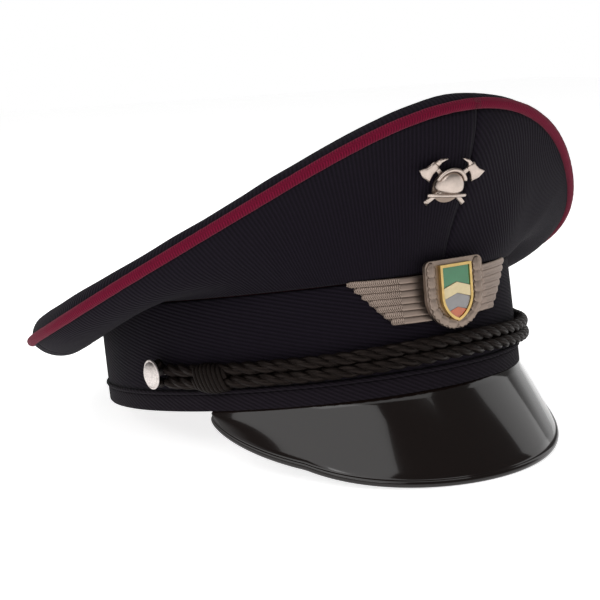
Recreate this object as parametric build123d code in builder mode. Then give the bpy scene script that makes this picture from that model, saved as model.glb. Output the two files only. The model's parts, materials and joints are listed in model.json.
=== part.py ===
from build123d import *

import os
from math import atan2, cos, degrees, exp, radians, sin

# A peaked uniform cap: a saddle-shaped cloth crown on a stiff band, a lacquered visor and a
# twisted cap cord with two sliding knots, held by two turning side buttons.
#
# Everything is drawn in the cap's own frame: the lower edge of the band lies in the XY plane,
# the middle of the head opening is the origin, and the visor points towards -Y. At the end the
# whole cap is tilted and lifted, so that it lies on a table at z = 0, on its visor and rear rim.

# ---- driving dimensions, in millimetres and degrees ----------------------------------------
RIM_LENGTH = 210.0  # outside of the band, front to back
RIM_WIDTH = 173.0  # outside of the band, side to side
END_RADIUS = 75.0  # plan radius of the band's front and rear arcs
BAND_TOP = 44.6  # seam between band and crown
HEM_TOP = 6.7  # top of the narrow strip below the welt
WELT_HEIGHT = 1.8
WELT_OUT = 1.2
CLOTH = 1.2  # lined cap cloth
STIFFENER = 1.4  # fibre band behind the cloth
SWEATBAND = 1.2  # leather
SWEATBAND_TOP = 38.0
SWEATBAND_OFFSET = -4.9  # outer face of the sweatband, from the face of the band
SEAM = 0.1  # gap left between sewn pieces
CROWN_LENGTH = 267.0  # along the middle of the piping
CROWN_WIDTH = 250.0
CROWN_SHIFT = -2.0
CROWN_SIDE_Z = 38.6  # height of the piping over its middle
CROWN_SLOPE = 27.5  # rise over half the crown's length
CROWN_LIFT_FRONT = 40.0  # further rise, with the square of the distance
CROWN_LIFT_REAR = 25.0
SIDE_SEAM_ANGLE = 98.0  # where the front and rear quarters of the crown meet
PIPING_RADIUS = 2.1
GAP_ANGLE = 0.04  # half the gap between the ends of the crown's two half rings
HALF_SWEEP = 180 - 2 * GAP_ANGLE
TOP_CLEARANCE = 1.3  # between the piping and the underside of the top
TOP_RISE = 6.7  # top of the crown above the middle of the piping
TOP_PEAK = 2.0  # further rise in front
TOP_DOME = 24.0  # how far the stretched top stands above the saddle in the middle
WIRE_RADIUS = 1.2
WIRE_INSET = 6.0
LINING = 0.6
LINING_INSET = 14.0
LINING_DEPTH = 3.4  # top lining, under the crown's top
VISOR_HALF_ANGLE = 67.5  # where the visor's corners meet the band
VISOR_LENGTH = 40.6  # down its slope
VISOR_CORNER = 4.0  # its length at the corners
VISOR_FULLNESS = 0.7  # how square the outline is: 1 is a crescent
VISOR_SLOPE = 56.0  # below the horizontal
VISOR_SLOPE_SIDE = 30.0  # how much it changes towards the sides
VISOR_THICKNESS = 2.0
BINDING_WIDTH = 2.6
BINDING_GAP = 1.3  # keeps the two solids apart at the corners; a real binding laps the shell
STRAND_RADIUS = 2.4
STRAND_SPACING = 5.0
CORD_OUT = 3.0  # middle of the strands, from the face of the band
CORD_HEIGHT = 14.4
KNOT_ANGLE = 65.3
KNOT_LENGTH = 17.0
KNOT_WALL = 1.0
SLIDE_GAP = 0.3
BUTTON_ANGLE = 78.3
BUTTON_RADIUS = 6.1
BUTTON_UNDERSIDE = 6.5  # from the face of the band
BUTTON_TURN = 11.0  # how far the buttons face to the rear
BUTTON_HEIGHT = 16.4
SHANK_RADIUS = 1.25
SHANK_FIT = 0.05  # radial clearance in the band
SHANK_END = 4.4  # inside the face of the band
WASHER_RADIUS = 2.6
LOOP_OUT = 3.9
LOOP_RADIUS = 3.9
LOOP_TUBE = 2.2
BADGE_WIDTH = 28.5
BADGE_LOW = 22.5
BADGE_TOP = 49.6
BADGE_OUT = 3.9  # back of the wreath, from the face of the band
BADGE_TILT = 4.0
WING_ANGLE = 33.0
WING_ROWS = 6
WING_HEIGHT = 18.5
POST_RADIUS = 1.0
POST_FIT = 0.3
EMBLEM_ANGLE = -4.6
EMBLEM_HEIGHT = 0.62  # share of the way up the crown's side
EMBLEM_SIZE = 24.0

# ---- plan of the band: an oval of four tangent arcs ----------------------------------------
HALF_LENGTH = RIM_LENGTH / 2
HALF_WIDTH = RIM_WIDTH / 2
END_CENTRE = HALF_LENGTH - END_RADIUS
SIDE_RADIUS = (HALF_WIDTH**2 + END_CENTRE**2 - END_RADIUS**2) / (2 * (HALF_WIDTH - END_RADIUS))
SIDE_CENTRE = SIDE_RADIUS - HALF_WIDTH
END_HALF_ANGLE = degrees(atan2(SIDE_CENTRE, END_CENTRE))
SIDE_HALF_ANGLE = 90 - END_HALF_ANGLE

SIDES = {"left": 1, "right": -1}  # the wearer's left is +X
pieces = {}


def keep(piece, name):
    """Files a finished piece under the name of its sub-part."""
    piece.part.label = name
    pieces[name] = piece.part


def outward(angle):
    return Vector(sin(radians(angle)), -cos(radians(angle)), 0)


def rim(angle, out=0.0, z=0.0):
    """A point beside the band, where the band faces this way (0 is the front, 90 the left)."""
    if abs(angle) <= END_HALF_ANGLE:
        return Vector(0, -END_CENTRE, z) + outward(angle) * (END_RADIUS + out)
    if abs(angle) >= 180 - END_HALF_ANGLE:
        return Vector(0, END_CENTRE, z) + outward(angle) * (END_RADIUS + out)
    side = SIDE_CENTRE if angle < 0 else -SIDE_CENTRE
    return Vector(side, 0, z) + outward(angle) * (SIDE_RADIUS + out)


def button_facing(sign, out):
    """The plane across a side button's shank, out along it from the face of the band."""
    angle = sign * (BUTTON_ANGLE + BUTTON_TURN)
    along = Vector(cos(radians(angle)), sin(radians(angle)), 0)
    origin = rim(sign * BUTTON_ANGLE, 0, BUTTON_HEIGHT) + outward(angle) * out
    return Plane(origin=origin, x_dir=along, z_dir=outward(angle))


def oval(out):
    """Draws the band's plan, grown by out, in the current BuildLine."""
    CenterArc((0, -END_CENTRE), END_RADIUS + out, 270 - END_HALF_ANGLE, 2 * END_HALF_ANGLE)
    CenterArc((-SIDE_CENTRE, 0), SIDE_RADIUS + out, -SIDE_HALF_ANGLE, 2 * SIDE_HALF_ANGLE)
    CenterArc((0, END_CENTRE), END_RADIUS + out, SIDE_HALF_ANGLE, 2 * END_HALF_ANGLE)
    CenterArc((SIDE_CENTRE, 0), SIDE_RADIUS + out, 180 - SIDE_HALF_ANGLE, 2 * SIDE_HALF_ANGLE)


def oval_ring(outer, inner, low, high):
    """A ring on the band's plan, between two offsets and two heights, in the current BuildPart."""
    with BuildSketch(Plane.XY.offset(low)) as plan:
        with BuildLine():
            oval(outer)
        make_face()
        with BuildLine():
            oval(inner)
        make_face(mode=Mode.SUBTRACT)
    extrude(plan.sketch, amount=high - low)


def keep_front(half_angle):
    """Keeps only the current BuildPart's front, within this angle on both sides."""
    reach = HALF_LENGTH
    edge = reach * sin(radians(half_angle)) / cos(radians(half_angle))
    with BuildSketch(Plane.XY) as wedge:
        with BuildLine():
            end = -END_CENTRE - reach
            Polyline((0, -END_CENTRE), (edge, end), (-edge, end), close=True)
        make_face()
    extrude(wedge.sketch, amount=BAND_TOP, mode=Mode.INTERSECT)


def disc(plane, radius, depth, mode=Mode.ADD, both=False):
    """A round post on a plane, or a round hole, in the current BuildPart."""
    with BuildSketch(plane) as circle:
        Circle(radius)
    extrude(circle.sketch, amount=depth, both=both, mode=mode)


# ---- edge of the crown, and its side -------------------------------------------------------
def crown_height(y):
    """Height of the saddle that carries the crown's edge."""
    u = (CROWN_SHIFT - y) / (CROWN_LENGTH / 2)
    lift = CROWN_LIFT_FRONT if u > 0 else CROWN_LIFT_REAR
    return CROWN_SIDE_Z + CROWN_SLOPE * u + lift * u * u


def crown_edge(phi, inset=0.0, up=0.0):
    """A point on the middle of the piping: phi is 0 at the front and 90 on the wearer's left.

    The plan is an ellipse, pinched between its four ends and wider towards the front."""
    s, c = sin(radians(phi)), cos(radians(phi))
    pinch = 1 - (0.050 + 0.026 * c) * (2 * s * c) ** 2
    x = (CROWN_WIDTH / 2 - inset) * s * pinch * (1 + 0.08 * c)
    y = CROWN_SHIFT - (CROWN_LENGTH / 2 - inset) * c * pinch
    return Vector(x, y, crown_height(y) + up)


def smooth(x):
    x = min(1.0, max(0.0, x))
    return x * x * (3 - 2 * x)


def bezier(p0, p1, p2, p3, t):
    return p0 * (1 - t) ** 3 + p1 * 3 * t * (1 - t) ** 2 + p2 * 3 * t**2 * (1 - t) + p3 * t**3


def foot(phi):
    """The band's top under a point of the crown's edge, and the level way out from it."""
    angle = degrees(atan2(HALF_LENGTH * sin(radians(phi)), HALF_WIDTH * cos(radians(phi))))
    base = rim(angle, 0.6, BAND_TOP + 0.5)
    way = crown_edge(phi) - base
    return base, Vector(way.X, way.Y, 0).normalized()


def crown_side(phi, t):
    """Outer face of the crown's side, from the band at t = 0 to the piping at t = 1.

    It bulges over the band in front, is held back behind the badge, and sags at the sides and
    the rear."""
    base, way = foot(phi)
    edge = crown_edge(phi, 1.0, -PIPING_RADIUS - 0.3)
    sag = smooth((abs(phi) - 60) / 50)
    held = exp(-((phi / 11) ** 2))
    first = base + way * (8 - 7 * sag - 7 * held) + Vector(0, 0, 6 - 28 * sag + 5 * held)
    second = edge - way * (13 - 5 * sag - 11 * held) - Vector(0, 0, 15 - 2.5 * sag + 6 * held)
    return bezier(base, first, second, edge, t)


def crown_normal(phi, t, step=0.01):
    along = crown_side(phi + step, t) - crown_side(phi - step, t)
    upward = crown_side(phi, t + step) - crown_side(phi, t - step)
    return along.cross(upward).normalized()


def inside_crown(depth):
    """The crown's side, moved inwards."""
    return lambda phi, t: crown_side(phi, t) - crown_normal(phi, t) * depth


def roof(x, y, depth):
    """Height of the crown's top, drawn down by depth: the edge's saddle, with a dome on it."""
    across = (2 * x / CROWN_WIDTH) ** 2
    along = (2 * (y - CROWN_SHIFT) / CROWN_LENGTH) ** 2
    dome = TOP_DOME * (1 - across - along - 0.72 * across * along)
    peak = TOP_PEAK * (along if y < CROWN_SHIFT else 0)
    return crown_height(y) + TOP_RISE + peak + dome - depth


def lining_edge(phi, inset=0.0):
    """Where the lining turns from side to top: over the head, and near the crown's front edge."""
    front = smooth((cos(radians(phi)) + 0.35) / 1.1)
    base, way = foot(phi)
    corner = (base - way * 5) * (1 - front) + crown_edge(phi, LINING_INSET) * front - way * inset
    return Vector(corner.X, corner.Y, roof(corner.X, corner.Y, LINING_DEPTH + 0.6))


def lining_side(phi, t):
    """Outer face of the lining, from inside the band to under the top."""
    base, way = foot(phi)
    start = base - way * 4.2 - Vector(0, 0, 4)
    end = lining_edge(phi)
    rise = Vector(0, 0, end.Z - start.Z)
    front = max(0.0, cos(radians(phi)))
    return bezier(start, start + rise * 0.4, end - way * 9 * front - rise * 0.35, end, t)


def sheet(point, angles, thickness, columns=11, rows=7, span=(0.0, 1.0)):
    """A sheet of even thickness on the surface point(angle, t), in the current BuildPart."""
    first, last = angles
    low, high = span
    grid = [
        [
            point(first + (last - first) * i / (columns - 1), low + (high - low) * j / (rows - 1))
            for j in range(rows)
        ]
        for i in range(columns)
    ]
    thicken(Face.make_surface_from_array_of_points(grid), amount=thickness)


def roof_layer(depth, thickness):
    """A layer of the crown's top over a wide rectangle, in the current BuildPart."""
    reach_x, reach_y = CROWN_WIDTH * 0.56, CROWN_LENGTH * 0.56
    grid = [
        [(reach_x * (i / 6 - 1), reach_y * (j / 6 - 1)) for j in range(13)]
        for i in range(13)
    ]
    points = [[Vector(x, y, roof(x, y, depth)) for x, y in row] for row in grid]
    extrude(Face.make_surface_from_array_of_points(points), amount=thickness, dir=(0, 0, -1))


def keep_plan(edge):
    """Keeps only what stands on a plan, given as a closed round of points."""
    with BuildSketch(Plane.XY) as plan:
        with BuildLine():
            Spline(*[(edge(10 * k).X, edge(10 * k).Y) for k in range(36)], periodic=True)
        make_face()
    extrude(plan.sketch, amount=BAND_TOP * 5, mode=Mode.INTERSECT)


def crown_ring(inset, up, radius):
    """A round ring along the crown's edge, made of two halves, in the current BuildPart."""
    for first in (0, 180):
        with BuildLine() as half:
            Spline(*[crown_edge(first + GAP_ANGLE + HALF_SWEEP / 18 * k, inset, up) for k in range(19)])
        path = half.wire()
        with BuildSketch(Plane(origin=path @ 0, z_dir=path % 0)) as section:
            Circle(radius)
        sweep(section.sketch, path=path)


def emblem_plane(out):
    """A plane on the crown's front, facing outwards, where the emblem is pinned."""
    normal = crown_normal(EMBLEM_ANGLE, EMBLEM_HEIGHT)
    here = crown_side(EMBLEM_ANGLE, EMBLEM_HEIGHT)
    along = crown_side(EMBLEM_ANGLE + 1, EMBLEM_HEIGHT) - here
    return Plane(origin=here + normal * out, x_dir=along, z_dir=normal)


# ---- the crown: four quarters, a top, the piping, the wire and the linings -------------------
def make_crown():
    seam = 0.15
    spans = {"front": (seam, SIDE_SEAM_ANGLE - seam), "rear": (SIDE_SEAM_ANGLE + seam, 180 - seam)}
    for end, (first, last) in spans.items():
        for side, sign in SIDES.items():
            angles = (first, last) if sign > 0 else (-last, -first)
            with BuildPart() as quarter:
                sheet(crown_side, angles, -CLOTH)
                if end == "front" and sign < 0:
                    disc(emblem_plane(0), POST_RADIUS + POST_FIT, 4, Mode.SUBTRACT, True)
            keep(quarter, f"crown_quarter_{end}_{side}")

    with BuildPart() as hollow:
        roof_layer(CLOTH, 12)
        keep_plan(lambda phi: crown_edge(phi, 1.0 + CLOTH))
    with BuildPart() as top:
        roof_layer(0, TOP_RISE - PIPING_RADIUS - TOP_CLEARANCE)
        keep_plan(lambda phi: crown_edge(phi, 1.0))
        add(hollow.part, mode=Mode.SUBTRACT)
    keep(top, "crown_top")

    with BuildPart() as piping:
        crown_ring(0, 0, PIPING_RADIUS)
    keep(piping, "crown_piping")

    with BuildPart() as wire:
        crown_ring(WIRE_INSET, 4, WIRE_RADIUS)
    keep(wire, "crown_wire")

    with BuildPart() as ferrule:
        with BuildLine() as joint:
            Spline(*[crown_edge(176 + 2 * k, WIRE_INSET, 4) for k in range(5)])
        path = joint.wire()
        with BuildSketch(Plane(origin=path @ 0, z_dir=path % 0)) as section:
            Circle(WIRE_RADIUS + 0.8)
            Circle(WIRE_RADIUS + SEAM, mode=Mode.SUBTRACT)
        sweep(section.sketch, path=path)
    keep(ferrule, "crown_wire_ferrule")

    with BuildPart() as lining:
        roof_layer(LINING_DEPTH, LINING)
        keep_plan(lambda phi: lining_edge(phi, 1.5))
    keep(lining, "crown_lining_top")

    for side, sign in SIDES.items():
        angles = (0.15, 179.85) if sign > 0 else (-179.85, -0.15)
        with BuildPart() as half:
            sheet(lining_side, angles, -LINING, columns=17)
        keep(half, f"crown_lining_{side}")

    with BuildPart() as shield:
        roof_layer(LINING_DEPTH + LINING + 0.3, 0.5)
        with BuildSketch(Plane.XY) as plan:
            Ellipse(58, 72)
        extrude(plan.sketch, amount=BAND_TOP * 5, mode=Mode.INTERSECT)
    keep(shield, "sweat_shield")

    with BuildPart() as stiffener:
        sheet(inside_crown(CLOTH + 0.3), (-38, 38), -1.0, span=(0.3, 0.94))
        disc(emblem_plane(0), POST_RADIUS + POST_FIT, 6, Mode.SUBTRACT, True)
    keep(stiffener, "front_stiffener")

    with BuildPart() as stay:
        sheet(inside_crown(CLOTH + 1.6), (-5, 5), -0.8, columns=5, span=(0.34, 0.92))
        disc(emblem_plane(0), POST_RADIUS + POST_FIT, 8, Mode.SUBTRACT, True)
    keep(stay, "front_stay")


# ---- the band: cloth, welt, hem strip, stiffener, sweatband and forehead pad -----------------
def make_band():
    welt_top = HEM_TOP + SEAM + WELT_HEIGHT
    with BuildPart() as cloth:
        oval_ring(0, -CLOTH, welt_top + SEAM, BAND_TOP)
        for sign in SIDES.values():
            disc(button_facing(sign, 0), SHANK_RADIUS + SHANK_FIT, 5, Mode.SUBTRACT, True)
            disc(badge_post_plane(sign, 0), POST_RADIUS + POST_FIT, 4, Mode.SUBTRACT, True)
    keep(cloth, "cap_band")

    with BuildPart() as welt:
        oval_ring(WELT_OUT, -CLOTH, HEM_TOP + SEAM, welt_top)
        rounded = [edge for edge in welt.edges() if lies_outside(edge)]
        fillet(rounded, WELT_HEIGHT * 0.4)
    keep(welt, "band_welt")

    with BuildPart() as hem:
        oval_ring(0.4, -CLOTH, 0, HEM_TOP)
    keep(hem, "band_hem_strip")

    with BuildPart() as stiffener:
        oval_ring(-CLOTH - SEAM, -CLOTH - SEAM - STIFFENER, 0, BAND_TOP - 0.6)
        for sign in SIDES.values():
            disc(button_facing(sign, 0), SHANK_RADIUS + SHANK_FIT, 5, Mode.SUBTRACT, True)
            disc(badge_post_plane(sign, 0), POST_RADIUS + POST_FIT, 6, Mode.SUBTRACT, True)
    keep(stiffener, "band_stiffener")

    with BuildPart() as sweatband:
        oval_ring(SWEATBAND_OFFSET, SWEATBAND_OFFSET - SWEATBAND, 0, SWEATBAND_TOP)
        oval_ring(-CLOTH - SEAM - STIFFENER - SEAM, SWEATBAND_OFFSET - SWEATBAND, 0, SWEATBAND)
    keep(sweatband, "sweatband")

    with BuildPart() as pad:
        oval_ring(-CLOTH - STIFFENER - 0.3, SWEATBAND_OFFSET + SEAM, 6, 26)
        keep_front(46)
    keep(pad, "forehead_pad")


def lies_outside(edge):
    """Whether an edge runs on the outer side of the band's face."""
    middle = edge.position_at(0.5)
    return abs(middle.X) > HALF_WIDTH or abs(middle.Y) > HALF_LENGTH


def badge_post_plane(sign, out):
    return Plane(origin=(sign * 6, -HALF_LENGTH - out, 34), x_dir=(1, 0, 0), z_dir=(0, -1, 0))


# ---- the visor: shell, lining and edge binding ------------------------------------------------
def visor_surface(start, end, lift):
    """A surface down the visor, between start and its length less end, raised by lift."""

    def point(angle, t):
        share = cos(radians(90 * angle / VISOR_HALF_ANGLE))
        length = VISOR_CORNER + (VISOR_LENGTH - VISOR_CORNER) * share ** VISOR_FULLNESS
        slope = radians(VISOR_SLOPE + VISOR_SLOPE_SIDE * (1 - cos(radians(angle))))
        down = start + (length - end - start) * t
        out = outward(angle)
        fall = out * cos(slope) - Vector(0, 0, sin(slope))
        face = out * sin(slope) + Vector(0, 0, cos(slope))
        return rim(angle, 0.2, -0.35) + fall * down + face * lift

    def spread(turn, t):
        return point(VISOR_HALF_ANGLE * sin(radians(turn)) * 0.9999, t)

    return spread


def make_visor():
    whole = (-90, 90)
    with BuildPart() as shell:
        sheet(visor_surface(0, BINDING_WIDTH + BINDING_GAP, 0), whole, VISOR_THICKNESS, columns=19, rows=5)
    keep(shell, "visor_shell")
    with BuildPart() as lining:
        under = visor_surface(0, BINDING_WIDTH + BINDING_GAP, -VISOR_THICKNESS - SEAM)
        sheet(under, whole, 0.5, columns=19, rows=5)
    keep(lining, "visor_lining")
    edge = visor_surface(0, BINDING_WIDTH / 2, -VISOR_THICKNESS / 2)
    with BuildPart() as binding:
        with BuildLine() as run:
            Spline(*[edge(10 * k - 90, 1) for k in range(19)])
        path = run.wire()
        with BuildSketch(Plane(origin=path @ 0, z_dir=path % 0)) as section:
            Circle(BINDING_WIDTH / 2)
        sweep(section.sketch, path=path)
    keep(binding, "visor_edge_binding")


# ---- the cap cord: two strands, loops round the buttons, sliding knots and turning buttons ----
def make_cord():
    arc_radius = SIDE_RADIUS + CORD_OUT
    last = BUTTON_ANGLE - degrees((LOOP_RADIUS + 0.5) / arc_radius)
    sweep_side = last - END_HALF_ANGLE
    for name, step in (("upper", 0.5), ("lower", -0.5)):
        height = CORD_HEIGHT + step * STRAND_SPACING
        with BuildPart() as strand:
            with BuildLine(Plane.XY.offset(height)) as route:
                CenterArc((-SIDE_CENTRE, 0), arc_radius, last - 90, -sweep_side)
                CenterArc(
                    (0, -END_CENTRE), END_RADIUS + CORD_OUT, END_HALF_ANGLE - 90, -2 * END_HALF_ANGLE
                )
                CenterArc((SIDE_CENTRE, 0), arc_radius, -END_HALF_ANGLE - 90, -sweep_side)
            path = route.wire()
            with BuildSketch(Plane(origin=path @ 0, z_dir=path % 0)) as section:
                Circle(STRAND_RADIUS)
            sweep(section.sketch, path=path)
        keep(strand, f"cord_strand_{name}")

    for side, sign in SIDES.items():
        shank_plane = button_facing(sign, 0)
        face = shank_plane.z_dir
        forward = shank_plane.x_dir * -sign
        centre = button_facing(sign, LOOP_OUT).origin
        opening = radians(46)
        start = forward * cos(opening) + Vector(0, 0, 1) * sin(opening)
        turn_axis = forward.cross(Vector(0, 0, 1))
        with BuildPart() as loop:
            with BuildSketch(Plane(origin=centre, x_dir=start, z_dir=start.cross(turn_axis))) as section:
                with Locations((LOOP_RADIUS, 0)):
                    Circle(LOOP_TUBE)
            revolve(section.sketch, axis=Axis(centre, turn_axis), revolution_arc=268)
        keep(loop, f"cord_loop_{side}")

        with BuildPart() as button:
            with BuildSketch(Plane(origin=shank_plane.origin, x_dir=face, z_dir=forward)) as half:
                with BuildLine():
                    shank = Polyline(
                        (-SHANK_END, 0), (-SHANK_END, SHANK_RADIUS), (BUTTON_UNDERSIDE, SHANK_RADIUS),
                        (BUTTON_UNDERSIDE, BUTTON_RADIUS), (BUTTON_UNDERSIDE + 0.7, BUTTON_RADIUS),
                    )
                    dome = EllipticalCenterArc(
                        (BUTTON_UNDERSIDE + 0.7, 0), 2.1, BUTTON_RADIUS, start_angle=0, arc_size=90
                    )
                    Line((-SHANK_END, 0), dome @ 0)
                make_face()
            revolve(half.sketch, axis=Axis(shank_plane.origin, face))
        keep(button, f"side_button_{side}")

        with BuildPart() as washer:
            disc(button_facing(sign, -3.5), WASHER_RADIUS, -0.5)
            disc(button_facing(sign, -3.5), SHANK_RADIUS + 0.01, 4, Mode.SUBTRACT, True)
        keep(washer, f"button_washer_{side}")

        middle = Vector(-sign * SIDE_CENTRE, 0, CORD_HEIGHT)
        half_turn = degrees(KNOT_LENGTH / 2 / arc_radius)
        radial = outward(sign * KNOT_ANGLE - half_turn)
        bore = STRAND_RADIUS + SLIDE_GAP
        height = STRAND_SPACING + 2 * bore
        with BuildPart() as knot:
            across = Plane(origin=middle, x_dir=radial, z_dir=radial.cross(Vector(0, 0, 1)))
            with BuildSketch(across) as section:
                with Locations((SIDE_RADIUS + CORD_OUT, 0)):
                    RectangleRounded(2 * (bore + KNOT_WALL), height + 2 * KNOT_WALL, bore)
                    RectangleRounded(2 * bore, height, bore - 0.01, mode=Mode.SUBTRACT)
                with Locations((SIDE_RADIUS - 8.6, 0)):
                    Rectangle(20, 2 * height, mode=Mode.SUBTRACT)
            revolve(section.sketch, axis=Axis(middle, (0, 0, 1)), revolution_arc=2 * half_turn)
        keep(knot, f"slide_knot_{side}")


# ---- the badge: wings, wreath, shield and its four enamel fields ------------------------------
def make_badge():
    for side, sign in SIDES.items():
        with BuildPart() as wing:
            oval_ring(2.2, 0.3, BADGE_LOW, BAND_TOP)
            keep_front(WING_ANGLE)
            with BuildSketch(Plane.XZ) as feathers:
                row_height = WING_HEIGHT / WING_ROWS
                for row in range(WING_ROWS):
                    reach = 12 + 28.5 * (1 - 0.75 * (row / WING_ROWS) ** 1.8)
                    with Locations((sign * (11 + reach) / 2, BAND_TOP - 0.4 - row_height * (row + 0.5))):
                        SlotOverall(reach - 11 + row_height * 1.5, row_height * 1.3)
            extrude(feathers.sketch, amount=HALF_LENGTH * 1.2, mode=Mode.INTERSECT)
        keep(wing, f"badge_wing_{side}")

    def layer(out):
        slope = radians(BADGE_TILT)
        face = Vector(0, -cos(slope), -sin(slope))
        origin = Vector(0, -HALF_LENGTH - BADGE_OUT, (BADGE_TOP + BADGE_LOW) / 2) + face * out
        return Plane(origin=origin, x_dir=(1, 0, 0), z_dir=face)

    middle = (BADGE_TOP - BADGE_LOW) / 2
    with BuildPart() as plate:
        behind = Plane(origin=(0, -HALF_LENGTH - 0.3, 34), x_dir=(1, 0, 0), z_dir=(0, -1, 0))
        with BuildSketch(behind) as outline:
            RectangleRounded(15, 15, 2)
        extrude(outline.sketch, amount=1.6)
        for sign in SIDES.values():
            disc(badge_post_plane(sign, 0.4), POST_RADIUS, -5.2)
    keep(plate, "badge_back_plate")

    with BuildPart() as nuts:
        for sign in SIDES.values():
            disc(badge_post_plane(sign, -3.3), 2.6, -1.3)
            disc(badge_post_plane(sign, -3.3), POST_RADIUS + 0.02, 3, Mode.SUBTRACT, True)
    keep(nuts, "badge_nuts")

    with BuildPart() as wreath:
        with BuildSketch(layer(0)) as outline:
            Ellipse(BADGE_WIDTH / 2, middle)
            with Locations((0, middle / 2)):
                RectangleRounded(BADGE_WIDTH, middle, 2.5)
        extrude(outline.sketch, amount=1.6)
    keep(wreath, "badge_wreath")

    shield_top = middle - 3.0
    half = 6.7

    def shield(grow):
        """Draws the shield's outline in the current BuildLine."""
        wide, high = half + grow, shield_top + grow
        top = Polyline((-wide, -1), (-wide, high), (wide, high), (wide, -1))
        ThreePointArc(top @ 1, ((half + grow) * 0.72, -6.0 - grow * 0.7), (0, -9.6 - grow))
        ThreePointArc((0, -9.6 - grow), (-(half + grow) * 0.72, -6.0 - grow * 0.7), top @ 0)

    with BuildPart() as rim_frame:
        with BuildSketch(layer(1.7)) as outline:
            with BuildLine():
                shield(1.1)
            make_face()
            with BuildLine():
                shield(0)
            make_face(mode=Mode.SUBTRACT)
        extrude(outline.sketch, amount=1.3)
    keep(rim_frame, "badge_shield_rim")

    bands = {"base": (-14, -7.4), "middle": (-7.2, -2.0), "upper": (2.6, 14)}
    for name, (low, high) in bands.items():
        with BuildPart() as field:
            with BuildSketch(layer(1.7)) as outline:
                with BuildLine():
                    shield(-0.1)
                make_face()
                with BuildLine():
                    under = [(-20, low - 4), (0, low + 2), (20, low - 4)]
                    over = [(20, high - 4), (0, high + 2), (-20, high - 4)]
                    Polyline(*under, *over, close=True)
                make_face(mode=Mode.INTERSECT)
            extrude(outline.sketch, amount=0.8)
        keep(field, f"badge_enamel_{name}")
    with BuildPart() as chevron:
        with BuildSketch(layer(1.7)) as outline:
            with BuildLine():
                shield(-0.1)
            make_face()
            with BuildLine():
                Polyline((-20, -5.8), (0, 0.2), (20, -5.8), (20, -1.6), (0, 4.4), (-20, -1.6), close=True)
            make_face(mode=Mode.INTERSECT)
        extrude(outline.sketch, amount=1.1)
    keep(chevron, "badge_enamel_chevron")


# ---- the emblem: a helmet over crossed axes, pinned to the crown ------------------------------
def make_emblem():
    with BuildPart() as base:
        with BuildSketch(emblem_plane(0.9)) as outline:
            Circle(6.5)
        extrude(outline.sketch, amount=0.8)
        disc(emblem_plane(1.0), POST_RADIUS, -6.6)
    keep(base, "emblem_base")
    with BuildPart() as axes:
        with BuildSketch(emblem_plane(1.8)) as outline:
            for turn in (45, -45):
                with Locations(Rotation(0, 0, turn)):
                    Rectangle(1.6, EMBLEM_SIZE * 1.15)
                    with Locations((0, EMBLEM_SIZE * 0.46)):
                        Rectangle(5, 3)
        extrude(outline.sketch, amount=0.9)
    keep(axes, "emblem_axes")
    with BuildPart() as helmet:
        with BuildSketch(emblem_plane(2.8)) as outline:
            Ellipse(6.4, 7.5)
            with Locations((0, -8)):
                Rectangle(20, 10, mode=Mode.SUBTRACT)
            with Locations((0, -3.2)):
                SlotOverall(15.5, 2)
            with Locations((0, 7.2)):
                SlotOverall(6, 2.6)
        extrude(outline.sketch, amount=1.4)
    keep(helmet, "emblem_helmet")
    with BuildPart() as nut:
        disc(emblem_plane(-4.2), 2.6, -1.3)
        disc(emblem_plane(-4.2), POST_RADIUS + 0.02, 3, Mode.SUBTRACT, True)
    keep(nut, "emblem_nut")


make_crown()
make_band()
make_visor()
make_cord()
make_badge()
make_emblem()

# ---- lay the cap on the table, on the rear of its rim and on the tip of its visor --------------
drop = 0.35 + VISOR_LENGTH * sin(radians(VISOR_SLOPE)) + BINDING_WIDTH / 4
run = RIM_LENGTH + VISOR_LENGTH * cos(radians(VISOR_SLOPE))
tilt = degrees(atan2(drop, run))
tilted = {name: part.moved(Location((0, 0, 0), (-tilt, 0, 0))) for name, part in pieces.items()}
box = Compound(children=list(tilted.values())).bounding_box()
centre = box.center()
rest = Location((-centre.X, -centre.Y, -box.min.Z), (-tilt, 0, 0))
print("rest", rest, "size", box.size)

os.makedirs("parts", exist_ok=True)
for name, part in pieces.items():
    laid = part.moved(rest)
    laid.label = name
    export_step(laid, f"parts/{name}.step")
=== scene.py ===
import json
import math

import bpy
from mathutils import Matrix, Vector, noise


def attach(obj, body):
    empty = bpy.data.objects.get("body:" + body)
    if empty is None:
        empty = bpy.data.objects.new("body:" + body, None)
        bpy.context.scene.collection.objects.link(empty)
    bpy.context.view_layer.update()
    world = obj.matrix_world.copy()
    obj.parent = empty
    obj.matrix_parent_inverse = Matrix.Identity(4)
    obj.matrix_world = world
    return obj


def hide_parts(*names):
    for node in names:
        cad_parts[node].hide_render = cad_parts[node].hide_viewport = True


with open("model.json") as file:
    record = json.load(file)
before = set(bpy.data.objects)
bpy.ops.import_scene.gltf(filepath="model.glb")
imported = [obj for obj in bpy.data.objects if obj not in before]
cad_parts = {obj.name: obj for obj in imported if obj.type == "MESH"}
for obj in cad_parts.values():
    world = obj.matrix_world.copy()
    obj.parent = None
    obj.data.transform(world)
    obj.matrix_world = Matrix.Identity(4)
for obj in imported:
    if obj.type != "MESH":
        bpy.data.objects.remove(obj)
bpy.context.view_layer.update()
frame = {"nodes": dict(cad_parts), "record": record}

# ---- the cap's own frame, in millimetres, as in the CAD -------------------------------------
MM = 0.001
BODY = "cap"
opening = frame["record"]["mounts"][0]
lean = math.atan2(opening["axis"][1], opening["axis"][2])
CAP = Matrix.Translation(opening["pos_m"]) @ Matrix.Rotation(-lean, 4, "X") @ Matrix.Scale(MM, 4)

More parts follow.
